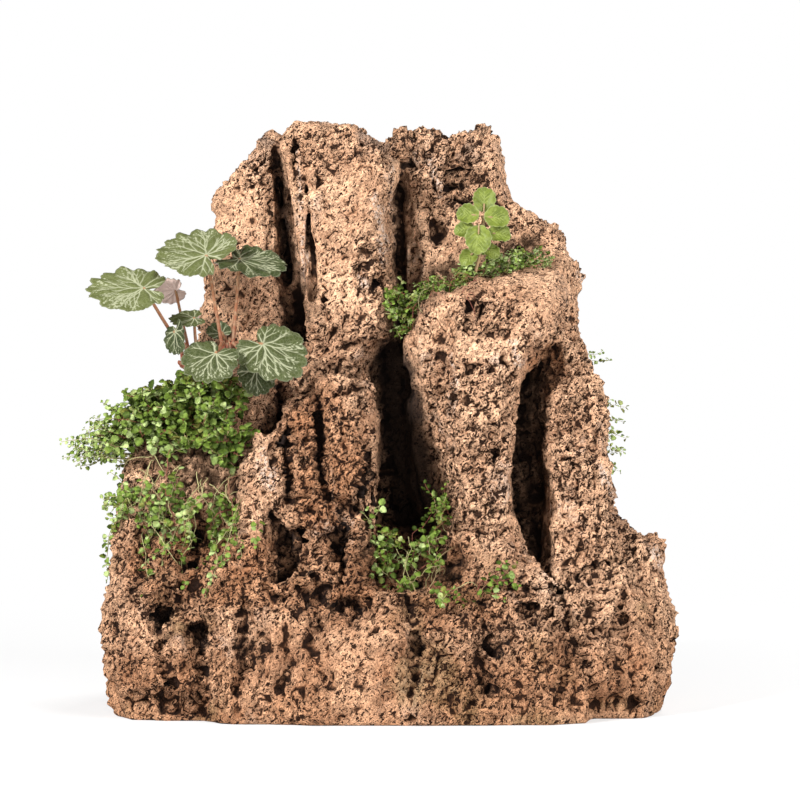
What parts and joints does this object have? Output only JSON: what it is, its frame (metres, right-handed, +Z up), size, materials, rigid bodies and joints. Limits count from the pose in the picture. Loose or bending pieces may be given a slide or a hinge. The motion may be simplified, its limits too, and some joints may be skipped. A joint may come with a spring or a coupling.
{
  "type": "tufa rock",
  "caption": "Fluted, pitted mountain of porous tufa with a deep front hollow, planted with a strawberry saxifrage, a creeper and a young sprout; rests on its sawn base.",
  "frame": {"origin": "on the sawn base, under the hollow in the middle of the stone", "axes": "+X to the right and +Z up, seen from the front with the hollow; +Y towards the back"},
  "size_m": [0.3121, 0.1948, 0.3013],
  "materials": {
    "stone": "dry porous reddish-brown tufa with pale mineral crust on its ridges, fully matt",
    "saxifrage": "downy grey-green blade with silvery veins and a pinkish underside, satin",
    "stalk": "finely haired reddish-brown stalk, satin",
    "creeper": "fresh green small leaves on thin pale stems, satin",
    "sprout": "soft pale-green young leaves, satin"
  },
  "bodies": {
    "root": {"rock": "stone", "crown_right": "stalk", "crown_left": "stalk", "leaf_top": "saxifrage", "leaf_high_right": "saxifrage", "leaf_far_left": "saxifrage", "leaf_turned": "saxifrage", "leaf_small_left": "saxifrage", "leaf_small_back": "saxifrage", "leaf_folded": "saxifrage", "leaf_front_left": "saxifrage", "leaf_front_right": "saxifrage", "leaf_hanging": "saxifrage", "sprout_stem": "sprout", "sprout_leaf_1": "sprout", "sprout_leaf_2": "sprout", "sprout_leaf_3": "sprout", "sprout_leaf_4": "sprout", "sprout_leaf_5": "sprout", "sprout_leaf_6": "sprout", "sprout_leaf_7": "sprout", "sprout_leaf_8": "sprout", "creeper_left": "creeper", "creeper_ledge": "creeper", "creeper_hollow": "creeper", "creeper_right": "creeper"}
  },
  "joints": []
}
